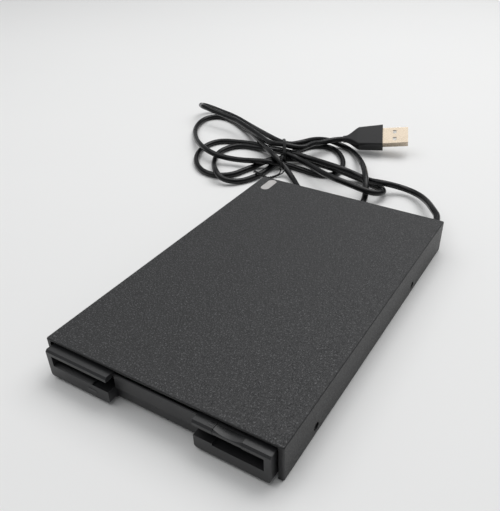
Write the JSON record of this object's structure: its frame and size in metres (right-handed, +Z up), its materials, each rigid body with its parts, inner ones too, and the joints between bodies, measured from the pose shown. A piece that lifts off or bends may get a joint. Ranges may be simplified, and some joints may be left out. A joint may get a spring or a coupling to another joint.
{
  "type": "external floppy disk drive",
  "caption": "Slim portable 3.5 inch floppy disk drive with a loading tray, eject button, spindle and head mechanism, and a captive USB cord tied in a hank.",
  "frame": {"origin": "centre of the drive's footprint, on the surface it rests on, cord left out", "axes": "+X to the drive's right seen from the front, +Y to the rear where the cord leaves, +Z up"},
  "size_m": [0.2209, 0.2736, 0.018],
  "materials": {
    "lid_plastic": "leather grain, charcoal",
    "case_plastic": "fine matt",
    "bezel_plastic": "fine matt, dark grey",
    "button_plastic": "fine matt, dark grey",
    "black_rubber": "satin",
    "cord_jacket": "satin black jacket",
    "tie_cover": "satin",
    "sheet_steel": "zinc plated sheet",
    "bright_steel": "ground",
    "black_steel": "black zinc",
    "spring_steel": "drawn wire",
    "magnet_grey": "bonded ferrite",
    "core_steel": "lacquered laminations",
    "winding": "enamelled copper",
    "bearing_bronze": "sintered",
    "alloy": "die cast",
    "plug_metal": "light gold plating",
    "board_green": "solder mask",
    "black_plastic": "moulded",
    "white_plastic": "moulded",
    "ferrite_head": "polished ceramic",
    "film_amber": "polyimide film",
    "window_clear": "frosted translucent",
    "lamp_clear": "diffuse"
  },
  "bodies": {
    "housing": {"top_cover": "lid_plastic", "bottom_cover": "case_plastic", "rubber_feet": "black_rubber", "cover_screws": "black_steel", "side_screws": "black_steel", "front_bezel": "bezel_plastic", "door_spring": "spring_steel", "drive_frame": "sheet_steel", "top_shield": "sheet_steel", "shield_screws": "bright_steel", "control_board": "board_green", "spindle_bearing": "bearing_bronze", "stator_core": "core_steel", "stator_coils": "winding", "slider_springs": "spring_steel", "guide_rods": "bright_steel", "rod_clips": "white_plastic", "stepper_motor": "sheet_steel", "screw_bracket": "sheet_steel", "head_cable": "film_amber", "switch_bodies": "black_plastic", "bridge_board": "board_green", "board_chips": "black_plastic", "board_components": "alloy", "status_led": "lamp_clear", "ribbon_sockets": "white_plastic", "ribbon_cable": "white_plastic", "cord_socket": "white_plastic", "lead_wires": "cord_jacket", "light_pipe": "window_clear", "activity_lens": "lamp_clear", "activity_led": "lamp_clear", "cord_gland": "cord_jacket", "cord_lead": "cord_jacket", "cord_tail": "cord_jacket", "twist_tie": "tie_cover", "cord_hank": "cord_jacket", "usb_plug_overmold": "cord_jacket", "usb_plug_shell": "plug_metal", "usb_plug_tongue": "white_plastic"},
    "slider": {"slider_plate": "sheet_steel", "eject_button": "button_plastic"},
    "cradle": {"disk_cradle": "sheet_steel", "lever_spring": "spring_steel"},
    "lever": {"shutter_lever": "black_plastic"},
    "flap": {"door_flap": "bezel_plastic"},
    "spindle": {"spindle_rotor": "sheet_steel", "rotor_magnet": "magnet_grey", "chuck_hub": "black_plastic", "spindle_shaft": "bright_steel", "drive_pin": "bright_steel"},
    "carriage": {"head_carriage": "black_plastic", "lower_head": "ferrite_head", "arm_spring": "spring_steel"},
    "upper_arm": {"head_arm": "alloy", "upper_head": "ferrite_head"},
    "screw": {"lead_screw": "bright_steel"},
    "write_protect": {"write_protect_plunger": "white_plastic"},
    "density": {"density_plunger": "white_plastic"},
    "disk_in": {"disk_in_plunger": "white_plastic"}
  },
  "joints": [
    {"name": "eject_slide", "type": "slide", "parent": "housing", "child": "slider", "axis": [0, -1, 0], "range_m": [0, 0.005], "deforming": ["slider_springs"]},
    {"name": "cradle_drop", "type": "slide", "parent": "housing", "child": "cradle", "axis": [0, 0, -1], "range_m": [0, 0.002]},
    {"name": "shutter_lever_pivot", "type": "hinge", "parent": "cradle", "child": "lever", "pos_m": [-0.04, -0.012, 0.0126], "axis": [0, 0, 1], "range_deg": [0, 80], "stiffness_Nm_per_rad": 0.001},
    {"name": "door_flap_hinge", "type": "hinge", "parent": "housing", "child": "flap", "pos_m": [0, -0.07755, 0.01265], "axis": [1, 0, 0], "range_deg": [0, 85], "stiffness_Nm_per_rad": 0.0001},
    {"name": "spindle_turn", "type": "hinge", "parent": "housing", "child": "spindle", "pos_m": [0, -0.0305, 0.005], "axis": [0, 0, 1], "continuous": true},
    {"name": "head_travel", "type": "slide", "parent": "housing", "child": "carriage", "axis": [0, -1, 0], "range_m": [0, 0.0148]},
    {"name": "upper_arm_pivot", "type": "hinge", "parent": "carriage", "child": "upper_arm", "pos_m": [0, 0.0416, 0.0109], "axis": [1, 0, 0], "range_deg": [0, 7.2]},
    {"name": "lead_screw_turn", "type": "hinge", "parent": "housing", "child": "screw", "pos_m": [-0.019, 0.03, 0.0085], "axis": [0, 1, 0], "range_deg": [0, 1800]},
    {"name": "write_protect_switch", "type": "slide", "parent": "housing", "child": "write_protect", "axis": [0, 0, -1], "range_m": [0, 0.0008], "stiffness_N_per_m": 50},
    {"name": "density_switch", "type": "slide", "parent": "housing", "child": "density", "axis": [0, 0, -1], "range_m": [0, 0.0008], "stiffness_N_per_m": 50},
    {"name": "disk_in_switch", "type": "slide", "parent": "housing", "child": "disk_in", "axis": [0, 0, -1], "range_m": [0, 0.0008], "stiffness_N_per_m": 50}
  ],
  "couplings": [
    {"joint": "cradle_drop", "follows": "eject_slide", "ratio": 0.4},
    {"joint": "upper_arm_pivot", "follows": "eject_slide", "rad_per_m": 24.78},
    {"joint": "lead_screw_turn", "follows": "head_travel", "rad_per_m": 2094.4}
  ]
}
